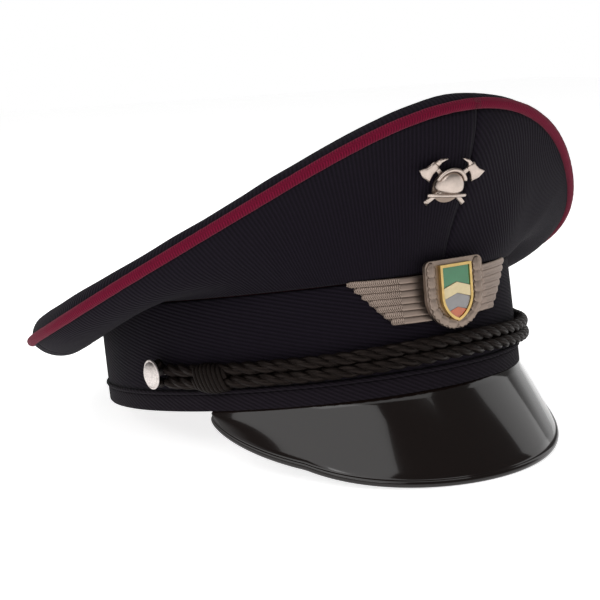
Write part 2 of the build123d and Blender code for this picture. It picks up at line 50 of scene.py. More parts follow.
HALF_LENGTH = 105.0
HALF_WIDTH = 86.5
END_RADIUS = 75.0
END_CENTRE = HALF_LENGTH - END_RADIUS
SIDE_RADIUS = (HALF_WIDTH**2 + END_CENTRE**2 - END_RADIUS**2) / (2 * (HALF_WIDTH - END_RADIUS))
SIDE_CENTRE = SIDE_RADIUS - HALF_WIDTH
END_HALF_ANGLE = math.degrees(math.atan2(SIDE_CENTRE, END_CENTRE))
BAND_TOP = 44.6
CROWN_HALF_LENGTH = 133.5
CROWN_HALF_WIDTH = 125.0
CROWN_SHIFT = -2.0
CROWN_MIDDLE_HEIGHT = 38.6
CROWN_LEAN = 27.5
CROWN_FRONT_RISE = 40.0
CROWN_REAR_RISE = 25.0
PIPING_RADIUS = 2.1
TOP_RISE = 6.7
TOP_PEAK = 2.0
TOP_DOME = 24.0
SIDE_SEAM = 98.0
VISOR_HALF_ANGLE = 67.5
VISOR_LENGTH = 40.6
VISOR_CORNER = 4.0
VISOR_FULLNESS = 0.7
CORD_HEIGHT = 14.4
CORD_OUT = 3.0
BUTTON_ANGLE = 78.3
BUTTON_TURN = 11.0
BUTTON_HEIGHT = 16.4
KNOT_ANGLE = 65.3


def smooth(x):
    x = min(1.0, max(0.0, x))
    return x * x * (3 - 2 * x)


def outward(angle):
    return Vector((math.sin(math.radians(angle)), -math.cos(math.radians(angle)), 0))


def rim(angle, out=0.0, z=0.0):
    """A point beside the band, where the band faces this way (0 is the front, 90 the left)."""
    angle = (angle + 180) % 360 - 180
    if abs(angle) <= END_HALF_ANGLE:
        return Vector((0, -END_CENTRE, z)) + outward(angle) * (END_RADIUS + out)
    if abs(angle) >= 180 - END_HALF_ANGLE:
        return Vector((0, END_CENTRE, z)) + outward(angle) * (END_RADIUS + out)
    side = SIDE_CENTRE if angle < 0 else -SIDE_CENTRE
    return Vector((side, 0, z)) + outward(angle) * (SIDE_RADIUS + out)


def crown_height(y):
    u = (CROWN_SHIFT - y) / CROWN_HALF_LENGTH
    rise = CROWN_FRONT_RISE if u > 0 else CROWN_REAR_RISE
    return CROWN_MIDDLE_HEIGHT + CROWN_LEAN * u + rise * u * u


def crown_edge(phi, inset=0.0, up=0.0):
    s, c = math.sin(math.radians(phi)), math.cos(math.radians(phi))
    pinch = 1 - (0.050 + 0.026 * c) * (2 * s * c) ** 2
    x = (CROWN_HALF_WIDTH - inset) * s * pinch * (1 + 0.08 * c)
    y = CROWN_SHIFT - (CROWN_HALF_LENGTH - inset) * c * pinch
    return Vector((x, y, crown_height(y) + up))


def bezier(p0, p1, p2, p3, t):
    return p0 * (1 - t) ** 3 + p1 * 3 * t * (1 - t) ** 2 + p2 * 3 * t**2 * (1 - t) + p3 * t**3


def foot(phi):
    s, c = math.sin(math.radians(phi)), math.cos(math.radians(phi))
    base = rim(math.degrees(math.atan2(HALF_LENGTH * s, HALF_WIDTH * c)), 0.6, BAND_TOP + 0.5)
    way = crown_edge(phi) - base
    return base, Vector((way.x, way.y, 0)).normalized()


def crown_side(phi, t):
    base, way = foot(phi)
    edge = crown_edge(phi, 0.6, -PIPING_RADIUS * 0.6)
    sag = smooth((abs(phi) - 60) / 50)
    held = math.exp(-((phi / 11) ** 2))
    up = Vector((0, 0, 1))
    first = base + way * (8 - 7 * sag - 7 * held) + up * (6 - 28 * sag + 5 * held)
    second = edge - way * (13 - 5 * sag - 11 * held) - up * (15 - 2.5 * sag + 6 * held)
    return bezier(base, first, second, edge, t)


def roof(x, y, depth=0.0):
    across = (x / CROWN_HALF_WIDTH) ** 2
    along = ((y - CROWN_SHIFT) / CROWN_HALF_LENGTH) ** 2
    dome = TOP_DOME * (1 - across - along - 0.72 * across * along)
    peak = TOP_PEAK * (along if y < CROWN_SHIFT else 0)
    return crown_height(y) + TOP_RISE + peak + dome - depth


def ripple(point, size, height, seed=0.0):
    """Soft unevenness of cloth: a smooth noise, in millimetres."""
    return noise.noise(Vector((point.x / size + seed, point.y / size, point.z / size))) * height


# ---- materials -------------------------------------------------------------------------------
class Shader:
    """A small helper that builds one procedural material."""

    def __init__(self, name, color, roughness, metallic=0.0, **extra):
        self.material = bpy.data.materials.new(name)
        self.material.use_nodes = True
        self.nodes = self.material.node_tree.nodes
        self.links = self.material.node_tree.links
        self.bsdf = self.nodes["Principled BSDF"]
        self.color = color
        self.bsdf.inputs["Base Color"].default_value = (*color, 1)
        self.bsdf.inputs["Roughness"].default_value = roughness
        self.bsdf.inputs["Metallic"].default_value = metallic
        for key, value in extra.items():
            self.bsdf.inputs[key.replace("_", " ")].default_value = value
        self.normal = None

    def node(self, kind, **values):
        made = self.nodes.new(kind)
        for key, value in values.items():
            setattr(made, key, value)
        return made

    def math(self, operation, a, b=0.0, c=0.0):
        made = self.node("ShaderNodeMath", operation=operation)
        for slot, value in zip(made.inputs, (a, b, c)):
            if isinstance(value, bpy.types.NodeSocket):
                self.links.new(value, slot)
            else:
                slot.default_value = value
        return made.outputs[0]

    def uv(self):
        split = self.node("ShaderNodeSeparateXYZ")
        self.links.new(self.node("ShaderNodeTexCoord").outputs["UV"], split.inputs[0])
        return split.outputs[0], split.outputs[1]

    def ribs(self, angle, pitch):
        """Parallel ribs across the cloth, 0 to 1, from coordinates laid out in millimetres."""
        u, v = self.uv()
        turn = math.radians(angle)
        k = 2 * math.pi / pitch
        across = self.math("MULTIPLY", v, k * math.sin(turn))
        phase = self.math("MULTIPLY_ADD", u, k * math.cos(turn), across)
        wobble = self.math("MULTIPLY", self.noise(60, 2), 1.6)
        return self.math("MULTIPLY_ADD", self.math("SINE", self.math("ADD", phase, wobble)), 0.5, 0.5)

    def noise(self, scale, detail=4.0):
        made = self.node("ShaderNodeTexNoise")
        made.inputs["Scale"].default_value = scale
        made.inputs["Detail"].default_value = detail
        self.links.new(self.node("ShaderNodeTexCoord").outputs["Object"], made.inputs["Vector"])
        return made.outputs["Fac"]

    def tint(self, factor, dark, light):
        """Colours the surface between two multiples of its base colour."""
        mix = self.node("ShaderNodeMix", data_type="RGBA")
        self.links.new(factor, mix.inputs["Factor"])
        mix.inputs["A"].default_value = (*[c * dark for c in self.color], 1)
        mix.inputs["B"].default_value = (*[min(1, c * light) for c in self.color], 1)
        self.links.new(mix.outputs["Result"], self.bsdf.inputs["Base Color"])

    def rough(self, factor, low, high):
        spread = self.math("MULTIPLY_ADD", factor, high - low, low)
        self.links.new(spread, self.bsdf.inputs["Roughness"])

    def bump(self, height, strength, distance):
        made = self.node("ShaderNodeBump")
        made.inputs["Strength"].default_value = strength
        made.inputs["Distance"].default_value = distance
        self.links.new(height, made.inputs["Height"])
        if self.normal:
            self.links.new(self.normal, made.inputs["Normal"])
        self.normal = made.outputs[0]
        self.links.new(self.normal, self.bsdf.inputs["Normal"])


def cloth(name, color, angle, pitch, depth=0.0003, sheen=0.02):
    made = Shader(name, color, 0.9, Sheen_Weight=sheen, Sheen_Roughness=0.45, Specular_IOR_Level=0.07)
    ribs = made.ribs(angle, pitch)
    fuzz = made.noise(1400, 3)
    blend = made.math("MULTIPLY_ADD", ribs, 0.6, made.math("MULTIPLY", fuzz, 0.5))
    made.tint(blend, 0.45, 1.7)
    made.rough(fuzz, 0.8, 1.0)
    made.bump(ribs, 0.8, depth)
    made.bump(fuzz, 0.5, 0.00025)
    return made.material


def metal(name, color, roughness, grain=300, worn=0.35):
    made = Shader(name, color, roughness, 1.0)
    spots = made.noise(grain, 5)
    made.tint(spots, 1 - worn, 1 + worn)
    made.rough(spots, roughness * 0.8, roughness * 1.3)
    made.bump(spots, 0.25, 0.0001)
    return made.material


def plain(name, color, low, high, scale=200, depth=0.0001, **extra):
    made = Shader(name, color, low, **extra)
    spots = made.noise(scale, 5)
    made.tint(spots, 0.8, 1.2)
    made.rough(spots, low, high)
    made.bump(spots, 0.3, depth)
    return made.material


NAVY = (0.0058, 0.0042, 0.0072)
crown_cloth = cloth("crown_twill", NAVY, 4, 1.5, 0.0002)
top_cloth = cloth("crown_top_twill", NAVY, 0, 1.7, 0.0002)
diagonal_cloth = cloth("crown_twill_bias", NAVY, 48, 1.6, 0.0002)
band_cloth = cloth("band_twill", NAVY, 76, 1.5, 0.0002)
hem_cloth = cloth("hem_twill", (0.0075, 0.0055, 0.0082), 62, 1.5, 0.0002)
felt = cloth("piping_felt", (0.095, 0.003, 0.016), 35, 1.1, 0.00008, 0.05)
satin = cloth("lining_satin", (0.05, 0.012, 0.02), 45, 0.8, 0.00005, 0.2)
buckram = cloth("buckram", (0.25, 0.22, 0.15), 0, 1.2, 0.0002)
silver = metal("antique_silver", (0.25, 0.195, 0.16), 0.42)
bright_silver = metal("satin_silver", (0.50, 0.42, 0.37), 0.36)
steel = metal("steel", (0.5, 0.5, 0.5), 0.35)
brass = metal("brass", (0.6, 0.42, 0.16), 0.35)
leather = plain("leather", (0.03, 0.017, 0.011), 0.4, 0.6, 700, 0.0002)
foam = plain("foam", (0.05, 0.05, 0.05), 0.85, 1.0, 900, 0.0003)
fibre = plain("fibre_board", (0.05, 0.04, 0.03), 0.7, 0.9, 500)
stay_plastic = plain("stay_plastic", (0.5, 0.5, 0.47), 0.4, 0.5)
visor_under = plain("visor_underside", (0.012, 0.02, 0.014), 0.45, 0.6, 900, 0.0001)


def feather_metal():
    made = Shader("feather_silver", (0.27, 0.21, 0.175), 0.42, 1.0)
    u, v = made.uv()
    chevron = made.math("MULTIPLY_ADD", made.math("ABSOLUTE", v), 3.4, made.math("MULTIPLY", u, 8.0))
    outer = made.math("MULTIPLY", made.math("GREATER_THAN", u, 21.0), 0.5)
    hatch = made.math("MULTIPLY_ADD", made.math("SINE", chevron), outer, 0.5)
    made.tint(hatch, 0.6, 1.3)
    made.bump(hatch, 0.9, 0.0002)
    made.bump(made.noise(500), 0.2, 0.0001)
    return made.material


def yarn():
    made = Shader(
        "cord_yarn",
        (0.0026, 0.0018, 0.0016),
        0.45,
        Specular_IOR_Level=0.16,
        Specular_Tint=(1, 0.78, 0.7, 1),
    )
    u, v = made.uv()
    threads = made.math("MULTIPLY_ADD", u, 3.0, made.math("MULTIPLY", v, 14.0))
    threads = made.math("MULTIPLY_ADD", made.math("SINE", threads), 0.5, 0.5)
    made.tint(threads, 0.5, 1.6)
    made.rough(threads, 0.65, 0.42)
    made.bump(threads, 0.6, 0.00015)
    made.bump(made.noise(1500), 0.3, 0.0002)
    return made.material


def lacquer():
    made = Shader(
        "visor_lacquer",
        (0.006, 0.0034, 0.0028),
        0.12,
        Coat_Weight=0.3,
        Coat_Roughness=0.03,
        Specular_IOR_Level=0.25,
    )
    made.rough(made.noise(40, 3), 0.06, 0.16)
    made.bump(made.noise(28, 2), 0.12, 0.0006)
    made.bump(made.noise(2500, 2), 0.03, 0.0001)
    return made.material


def enamel(name, color):
    return plain(name, color, 0.12, 0.2, 300, 0.00005, Coat_Weight=0.8, Coat_Roughness=0.05)


def clear_film():
    made = Shader("clear_film", (0.85, 0.88, 0.9), 0.15, Transmission_Weight=0.9, Alpha=0.4)
    made.rough(made.noise(90), 0.1, 0.3)
    made.bump(made.noise(60), 0.3, 0.0005)
    return made.material


def button_metal():
    made = Shader("button_pebbles", (0.74, 0.68, 0.65), 0.5, 1.0)
    cells = made.node("ShaderNodeTexVoronoi")
    cells.inputs["Scale"].default_value = 1500
    made.links.new(made.node("ShaderNodeTexCoord").outputs["Object"], cells.inputs["Vector"])
    made.tint(cells.outputs["Distance"], 1.15, 0.75)
    made.bump(cells.outputs["Distance"], 0.5, 0.0002)
    made.rough(made.noise(300), 0.45, 0.6)
    return made.material


feathers = feather_metal()
cord_yarn = yarn()
patent = lacquer()
film = clear_film()
pebbled = button_metal()


# ---- building pieces -------------------------------------------------------------------------
def place(obj, material, body=BODY, nodes=()):
    """Gives a piece its material, ties it to its body and hides the CAD nodes it stands for."""
    obj.data.materials.append(material)
    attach(obj, body)
    if nodes:
        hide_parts(*nodes)
    return obj


def mesh(name, points, faces, coordinates):
    data = bpy.data.meshes.new(name)
    data.from_pydata([CAP @ p for p in points], [], faces)
    layer = data.uv_layers.new(name="UV")
    for loop in data.loops:
        layer.data[loop.index].uv = coordinates[loop.vertex_index]
    for polygon in data.polygons:
        polygon.use_smooth = True
    obj = bpy.data.objects.new(name, data)
    bpy.context.scene.collection.objects.link(obj)
    return obj


def grid(name, rows, thickness=0.0, closed=False, flip=False, coordinate=None, capped=False):
    """A sheet through rows of points. Its coordinates are distances along it, in millimetres."""
    count, width = len(rows), len(rows[0])
    middle = [row[width // 2] for row in rows]
    along = [0.0]
    for a, b in zip(middle, middle[1:]):
        along.append(along[-1] + (b - a).length)
    coordinates = []
    for i, row in enumerate(rows):
        across = 0.0
        for j, point in enumerate(row):
            across += (point - row[j - 1]).length if j else 0.0
            coordinates.append(coordinate(i, j) if coordinate else (along[i], across))
    faces = []
    for i in range(count if closed else count - 1):
        for j in range(width - 1):
            a, b = i * width + j, ((i + 1) % count) * width + j
            faces.append((a, a + 1, b + 1, b) if flip else (a, b, b + 1, a + 1))
    if capped:
        faces.append(tuple(i * width + width - 1 for i in range(count)))
    obj = mesh(name, [p for row in rows for p in row], faces, coordinates)
    if thickness:
        solid = obj.modifiers.new("thickness", "SOLIDIFY")
        solid.thickness = thickness * MM
        solid.offset = -1
    return obj


def tube(name, path, radius, segments=12, closed=False, twist=0.0, turn=0.0):
    """A tube along a path. radius is a length or a function of distance and angle."""
    count = len(path)
    size = radius if callable(radius) else (lambda s, a: radius)
    tangents = []
    for i in range(count):
        before = path[i - 1] if closed or i else path[0]
        after = path[(i + 1) % count] if closed or i < count - 1 else path[-1]
        tangents.append((after - before).normalized())
    side = tangents[0].cross(Vector((0.1, 0.2, 1))).normalized()
    points, coordinates, distance = [], [], 0.0
    for i in range(count):
        side = (side - tangents[i] * side.dot(tangents[i])).normalized()
        other = tangents[i].cross(side)
        distance += (path[i] - path[i - 1]).length if i else 0.0
        for k in range(segments):
            angle = 2 * math.pi * k / segments
            way = side * math.cos(angle) + other * math.sin(angle)
            points.append(path[i] + way * size(distance, angle))
            coordinates.append((distance + turn * angle, angle + twist * distance))
    faces = []
    for i in range(count if closed else count - 1):
        for k in range(segments):
            a, b = i * segments + k, i * segments + (k + 1) % segments
            c, d = ((i + 1) % count) * segments + (k + 1) % segments, ((i + 1) % count) * segments + k
            faces.append((a, d, c, b))
    if not closed:
        faces.append(tuple(range(segments)))
        faces.append(tuple((count - 1) * segments + k for k in reversed(range(segments))))
    return mesh(name, points, faces, coordinates)


def span(first, last, count):
    return [first + (last - first) * k / (count - 1) for k in range(count)]


# ---- the crown -------------------------------------------------------------------------------
def crown_quarter(name, first, last, material):
    def point(phi, t):
        here = crown_side(phi, t)
        base, way = foot(phi)
        seam = 1 - math.exp(-(min(abs(phi - first), abs(last - phi)) / 1.2) ** 2)
        soft = math.sin(math.pi * t)
        return here + way * (ripple(here, 30, 1.6) * soft - 0.5 * (1 - seam) * soft)

    rows = [[point(phi, t) for t in span(0, 1, 30)] for phi in span(first, last, 90)]
    height = 60.0
    obj = grid(
        f"cloth_{name}", rows, 1.1,
        coordinate=lambda i, j: ((first + (last - first) * i / 89) * 2.15, height * j / 29),
    )
    return place(obj, material, nodes=[f"crown_quarter_{name}"])


crown_quarter("front_left", 0.1, SIDE_SEAM - 0.1, diagonal_cloth)
crown_quarter("front_right", -SIDE_SEAM + 0.1, -0.1, crown_cloth)
crown_quarter("rear_left", SIDE_SEAM + 0.1, 179.9, crown_cloth)
crown_quarter("rear_right", -179.9, -SIDE_SEAM - 0.1, crown_cloth)


def crown_top():
    """The top, with its edge rolled over the wire."""
    roll = 7.5

    def point(phi, t):
        edge = crown_edge(phi, 0.4)
        inner = crown_edge(phi, roll + 1)
        top = Vector((inner.x, inner.y, roof(inner.x, inner.y)))
        if t < 0.25:
            turn = t / 0.25 * math.pi / 2
            base = edge + Vector((0, 0, PIPING_RADIUS * 0.6))
            here = base + (top - base) * (1 - math.cos(turn))
            here.z = base.z + (top.z - base.z) * math.sin(turn)
            return here + Vector((0, 0, ripple(here, 22, 0.8)))
        share = (t - 0.25) / 0.75
        x, y = inner.x * (1 - share), CROWN_SHIFT + (inner.y - CROWN_SHIFT) * (1 - share)
        here = Vector((x, y, roof(x, y)))
        return here + Vector((0, 0, ripple(here, 45, 2.2) * math.sin(math.pi * share) ** 0.5))

    rings = [t * 0.25 / 9 for t in range(9)] + span(0.25, 0.98, 30)
    rows = [[point(phi, t) for t in rings] for phi in span(0, 358, 180)]
    obj = grid(
        "cloth_top", rows, 1.1, closed=True, capped=True,
        coordinate=lambda i, j: (i * 4.6, 0) if rings[j] < 0.25 else (rows[i][j].x, rows[i][j].y),
    )
    return place(obj, top_cloth, nodes=["crown_top"])


crown_top()

loop = [crown_edge(phi) for phi in span(0, 358.8, 300)]
piping = tube(
    "piping_felt",
    loop,
    lambda s, a: PIPING_RADIUS + 0.12 * noise.noise(Vector((s / 3, a, 0))),
    14,
    True,
    0.4,
)
place(piping, felt, nodes=["crown_piping"])


# ---- the band --------------------------------------------------------------------------------
def band_ring(name, profile, material, nodes, wobble=0.0, body=BODY):
    """A ring round the band: profile lists (out, height) from the bottom up."""
    rows = []
    for angle in span(-180, 178.5, 240):
        row = []
        for out, height in profile:
            here = rim(angle, out, height)
            row.append(here + outward(angle) * ripple(here, 25, wobble))
        rows.append(row)
    return place(grid(name, rows, closed=True), material, body, nodes)


band_ring(
    "band_cloth_face",
    [(-1.1, 8.7)] + [(0, z) for z in span(8.7, 43.6, 12)] + [(-0.3, 44.4), (-1.1, 44.6)],
    band_cloth, ["cap_band"], 0.35,
)
band_ring(
    "welt_fold",
    [(-1.1, 6.8), (0.3, 6.8)]
    + [
        (0.2 + 0.95 * math.cos(math.radians(a)), 7.7 + 0.9 * math.sin(math.radians(a)))
        for a in span(-80, 80, 9)
    ]
    + [(-1.1, 8.6)],
    hem_cloth, ["band_welt"], 0.15,
)
band_ring(
    "hem_strip_face",
    [(-1.2, 0.0), (0.1, 0.0), (0.4, 0.4)]
    + [(0.4, z) for z in span(1.0, 6.2, 5)]
    + [(0.1, 6.7), (-1.1, 6.75)],
    hem_cloth, ["band_hem_strip"], 0.2,
)
band_ring(
    "sweatband_leather",
    [(-2.9, 1.2), (-2.9, 0.0), (-5.8, 0.0), (-6.1, 0.5)]
    + [(-6.1 + 0.15 * math.sin(z), z) for z in span(1.5, 37.0, 18)]
    + [(-5.9, 38.0), (-5.1, 38.0), (-4.9, 37.0), (-4.9, 2.0), (-2.9, 1.2)],
    leather, ["sweatband"], 0.3,
)
pad_rows = []
for angle in span(-44, 44, 60):
    end = min(1, (44 - abs(angle)) / 5) ** 0.5
    pad_rows.append([
        rim(angle, -3.8 + 0.95 * end * math.cos(a), 16 + 9.6 * end * math.sin(a))
        for a in span(0, 2 * math.pi, 25)
    ])
pad = grid("forehead_pad_foam", pad_rows)
place(pad, foam, nodes=["forehead_pad"])


def stitches(name, count, angles, point, length, radius, material):
    """A row of short thread stitches, as one mesh."""
    points, faces, coordinates = [], [], []
    for angle in span(*angles, count):
        a, b = point(angle), point(angle + length)
        side = (b - a).normalized().cross(Vector((0, 0, 1)))
        start = len(points)
        for share, size in ((0, 0.3), (0.25, 1), (0.75, 1), (1, 0.3)):
            for k in range(6):
                turn = k * math.pi / 3
                way = side * math.cos(turn) + Vector((0, 0, 1)) * math.sin(turn)
                points.append(a.lerp(b, share) + way * radius * size)
                coordinates.append((share, turn))
        for ring in range(3):
            for k in range(6):
                low, high = start + ring * 6, start + ring * 6 + 6
                faces.append((low + k, low + (k + 1) % 6, high + (k + 1) % 6, high + k))
    place(mesh(name, points, faces, coordinates), material)


stitches(
    "sweatband_stitches",
    150,
    (-180, 177.6),
    lambda a: rim(a, -6.2, 3.6),
    1.4,
    0.28,
    brass,
)


# ---- linings ---------------------------------------------------------------------------------
def lining_edge(phi, inset=0.0):
    front = smooth((math.cos(math.radians(phi)) + 0.35) / 1.1)
    base, way = foot(phi)
    corner = (base - way * 5) * (1 - front) + crown_edge(phi, 14.0) * front - way * inset
    return Vector((corner.x, corner.y, roof(corner.x, corner.y, 4.0)))


def lining_side(phi, t):
    base, way = foot(phi)
    start = base - way * 4.2 - Vector((0, 0, 4))
    end = lining_edge(phi)
    rise = Vector((0, 0, end.z - start.z))
    front = max(0.0, math.cos(math.radians(phi)))
    here = bezier(start, start + rise * 0.4, end - way * 9 * front - rise * 0.35, end, t)
    return here - way * (0.5 + 0.5 * math.sin(phi * 1.3)) * 0.8 * math.sin(math.pi * t)


for side, first, last in (("left", 0.2, 179.8), ("right", -179.8, -0.2)):
    lining_rows = [[lining_side(p, t) for t in span(0, 1, 14)] for p in span(first, last, 140)]
    half = grid(f"lining_{side}", lining_rows, 0.4)
    place(half, satin, nodes=[f"crown_lining_{side}"])

rows = []
for phi in span(0, 357, 120):
    edge = lining_edge(phi, 0.5)
    row = []
    for share in span(0, 0.98, 24):
        x, y = edge.x * (1 - share), CROWN_SHIFT + (edge.y - CROWN_SHIFT) * (1 - share)
        row.append(Vector((x, y, roof(x, y, 3.6) + ripple(Vector((x, y, 0)), 20, 0.5) - 0.3)))
    rows.append(row)
top_lining = grid("lining_top", rows, 0.4, closed=True, capped=True)
place(top_lining, satin, nodes=["crown_lining_top"])


# ---- the visor -------------------------------------------------------------------------------
def visor_point(angle, down, lift):
    slope = math.radians(56 + 30 * (1 - math.cos(math.radians(angle))))
    out = outward(angle)
    fall = out * math.cos(slope) - Vector((0, 0, math.sin(slope)))
    face = out * math.sin(slope) + Vector((0, 0, math.cos(slope)))
    return rim(angle, 0.2, -0.35) + fall * down + face * lift


def visor_length(angle):
    share = max(0.0, math.cos(math.radians(90 * angle / VISOR_HALF_ANGLE)))
    return VISOR_CORNER + (VISOR_LENGTH - VISOR_CORNER) * share**VISOR_FULLNESS


def visor():
    """Shell and bound edge in one: a raised rim, rounded over the edge and back underneath."""
    section = [(u, 0.25 * math.sin(math.pi * u)) for u in span(0, 1, 14)]
    rows, under_rows = [], []
    for turn in span(-90, 90, 181):
        angle = VISOR_HALF_ANGLE * math.sin(math.radians(turn)) * 0.9999
        length = visor_length(angle)
        inner = length - 3.2
        row = [rim(angle, -1.0, 0.7), rim(angle, -0.4, 0.1)]
        row += [visor_point(angle, max(0.0, inner) * u, arch) for u, arch in section]
        for a in span(140, -90, 16):
            c, s = math.cos(math.radians(a)), math.sin(math.radians(a))
            row.append(visor_point(angle, length - 1.5 + 1.5 * c, -0.95 + 1.3 * s))
        row.append(visor_point(angle, inner, -2.1))
        row += [visor_point(angle, inner * u, -2.0) for u in span(0.95, 0, 6)]
        rows.append(row)
        under_rows.append([visor_point(angle, inner * u, -2.15) for u in span(0, 0.97, 8)])
    shell = grid("visor_patent", rows, flip=True)
    place(shell, patent, nodes=["visor_shell", "visor_edge_binding"])
    under = grid("visor_under", under_rows, 0.5, flip=True)
    place(under, visor_under, nodes=["visor_lining"])


visor()


# ---- the cap cord ----------------------------------------------------------------------------
def cord_rise(angle):
    return 1.3 * smooth((46 - abs(angle)) / 46) + 0.7 * smooth((abs(angle) - 69) / 7)


def rope(radius, pitch, plies=3):
    """Cross-section of a twisted cord: round plies that wind along it."""

    def size(distance, angle):
        turn = plies * angle / 2 - math.pi * plies * distance / pitch
        return radius * (0.52 + 0.48 * abs(math.cos(turn)) ** 0.6)

    return size


last = BUTTON_ANGLE - 2.05
for name, step in (("upper", 2.45), ("lower", -2.45)):
    path = [rim(a, CORD_OUT, CORD_HEIGHT + step + cord_rise(a)) for a in span(-last, last, 700)]
    strand = tube(f"strand_{name}", path, rope(2.75, 19), 36, twist=-2 * math.pi / 19)
    place(strand, cord_yarn, nodes=[f"cord_strand_{name}"])

for side, sign in (("left", 1), ("right", -1)):
    facing = sign * (BUTTON_ANGLE + BUTTON_TURN)
    hub = rim(sign * BUTTON_ANGLE, 0, BUTTON_HEIGHT)
    centre = hub + outward(facing) * 3.9
    forward = Vector((math.cos(math.radians(facing)), math.sin(math.radians(facing)), 0)) * -sign
    up = Vector((0, 0, 1))
    path = [
        centre + (forward * math.cos(math.radians(a)) + up * math.sin(math.radians(a))) * 3.9
        for a in span(44, 316, 70)
    ]
    loop_piece = tube(f"loop_{side}", path, rope(2.2, 19), 24, twist=-2 * math.pi / 19)
    place(loop_piece, cord_yarn, nodes=[f"cord_loop_{side}"])

    # the knot: one cord wound in eight turns round both strands
    path = []
    turns = 8
    for k in range(turns * 28 + 1):
        wind = 2 * math.pi * k / 28
        share = k / (turns * 28)
        n = sign * (KNOT_ANGLE + (share - 0.5) * 7.0)
        swell = 0.74 + 0.30 * math.sin(math.pi * share) ** 0.7
        flattened = math.copysign(min(1, abs(math.sin(wind)) * 1.6), math.sin(wind))
        z = (2.1 * flattened + 2.9 * math.sin(wind)) * swell
        out = CORD_OUT + 3.1 * math.cos(wind) * swell
        path.append(rim(n + sign * 0.12 * z, max(out, 1.6), CORD_HEIGHT - 0.6 + z))
    knot = tube(f"knot_{side}", path, 1.08, 10, twist=-1.6)
    place(knot, cord_yarn, f"knot_{side}", [f"slide_knot_{side}"])

    # the button: a pebbled dome with a rolled edge on a shank
    profile = [(0.01, 9.25)] + [(5.2 * math.sin(a), 7.15 + 2.1 * math.cos(a)) for a in span(0.15, 1.5, 10)]
    profile += [(5.35, 7.15), (5.5, 7.4), (5.8, 7.45), (6.08, 7.2)]
    profile += [(6.1, 6.8), (5.9, 6.52), (1.25, 6.5), (1.25, -4.4)]
    rows = []
    for turn in span(0, 2 * math.pi * 63 / 64, 64):
        way = forward * math.cos(turn) + up * math.sin(turn)
        rows.append([hub + outward(facing) * out + way * r for r, out in profile])
    button = grid(f"button_{side}", rows, closed=True, flip=sign > 0)
    place(button, pebbled, f"button_{side}", [f"side_button_{side}"])


# ---- the badge -------------------------------------------------------------------------------
WING_LIFT = 1.7


def feather_row(name, sign, row, rows_count):
    """One row of a wing: a slim raised bar along the band, with a rounded end."""
    pitch = 18.0 / rows_count
    reach = 11 + 30.3 * (1 - 0.5 * row / (rows_count - 1))
    top = BAND_TOP - 0.2 - pitch * row
    rows = []
    for share in span(0, 1, 50):
        arc = 9 + (reach - 9) * share
        end = min(1, (1 - share) * 20) ** 0.5
        lift = WING_LIFT * (arc / 44) ** 2
        half = pitch * (0.54 if row else 0.52) * max(0.45, end)
        line = []
        for across in span(-1, 1, 9):
            bulge = 0.22 * (1 - across**4)
            line.append(rim(
                sign * math.degrees(arc / END_RADIUS),
                1.5 + bulge * max(0.2, end),
                top - pitch / 2 + across * half + lift,
            ))
        rows.append(line)
    obj = grid(
        name, rows, 0.7, flip=sign < 0,
        coordinate=lambda i, j: (9 + (reach - 9) * i / 49, (j - 4) * 0.4),
    )
    return place(obj, feathers)


def wing_plate(name, sign):
    """The plate that the feather rows stand on, with a plain outline."""
    rows = []
    for along in span(0, 1, 40):
        line = []
        for down in span(0, 1, 16):
            reach = 10.6 + 30.3 * (1 - 0.5 * down) - 2.5 * down**10 - 1.0 * (1 - down) ** 12
            arc = 9 + (reach - 9) * along
            line.append(rim(
                sign * math.degrees(arc / END_RADIUS), 1.35,
                BAND_TOP - 0.4 - 17.7 * down + WING_LIFT * (arc / 44) ** 2,
            ))
        rows.append(line)
    return place(grid(name, rows, 0.9, flip=sign > 0), feathers)


for side, sign in (("left", 1), ("right", -1)):
    wing_plate(f"wing_{side}_plate", sign)
    rows = [feather_row(f"wing_{side}_row_{k + 1}", sign, k, 7) for k in range(7)]
    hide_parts(f"badge_wing_{side}")


def badge_frame():
    """Across, up and out of the badge's face, and its middle, from the CAD's tilted plate."""
    slope = math.radians(4.0)
    return (
        Vector((1, 0, 0)),
        Vector((0, -math.sin(slope), math.cos(slope))),
        Vector((0, -math.cos(slope), -math.sin(slope))),
        Vector((0, -HALF_LENGTH - 3.9, 36.05)),
    )


def leaf(name, x, y, turn, length, width, base):
    """A lobed leaf with a raised middle, lying on the badge."""
    right, up, face, middle = badge_frame()
    c, s = math.cos(math.radians(turn)), math.sin(math.radians(turn))
    rows = []
    for share in span(0, 1, 15):
        lobes = 1 + 0.14 * math.cos(share * 6 * math.pi)
        half = width / 2 * math.sin(math.pi * min(1, share * 0.97 + 0.02)) ** 0.7 * lobes
        line = []
        for across in span(-1, 1, 9):
            a, b = (share - 0.5) * length, across * half
            crown = 0.4 * (1 - abs(across)) * math.sin(math.pi * share)
            height = base + crown + 0.08 * math.cos(across * 9)
            line.append(middle + right * (x + a * c - b * s) + up * (y + a * s + b * c) + face * height)
        rows.append(line)
    return place(grid(name, rows, 0.5, flip=True), silver)


def wreath_spot(share):
    """A place on the wreath and its heading: round the bottom from the middle, then up the side."""
    wide, tall, bottom = 11.4, 11.2, math.pi / 2 * 11.3
    run = share * (bottom + 12.5)
    if run < bottom:
        turn = run / bottom * math.pi / 2
        return wide * math.sin(turn), -0.5 - tall * math.cos(turn), math.degrees(turn)
    return wide, -0.5 + run - bottom, 90.0


for side, sign in (("left", 1), ("right", -1)):
    for k in range(7):
        x, y, heading = wreath_spot((k + 0.65) / 7.2)
        heading = heading if sign > 0 else 180 - heading
        leaf(f"leaf_{side}_{k + 1}", sign * x, y, heading, 6.4, 3.9, 1.5)


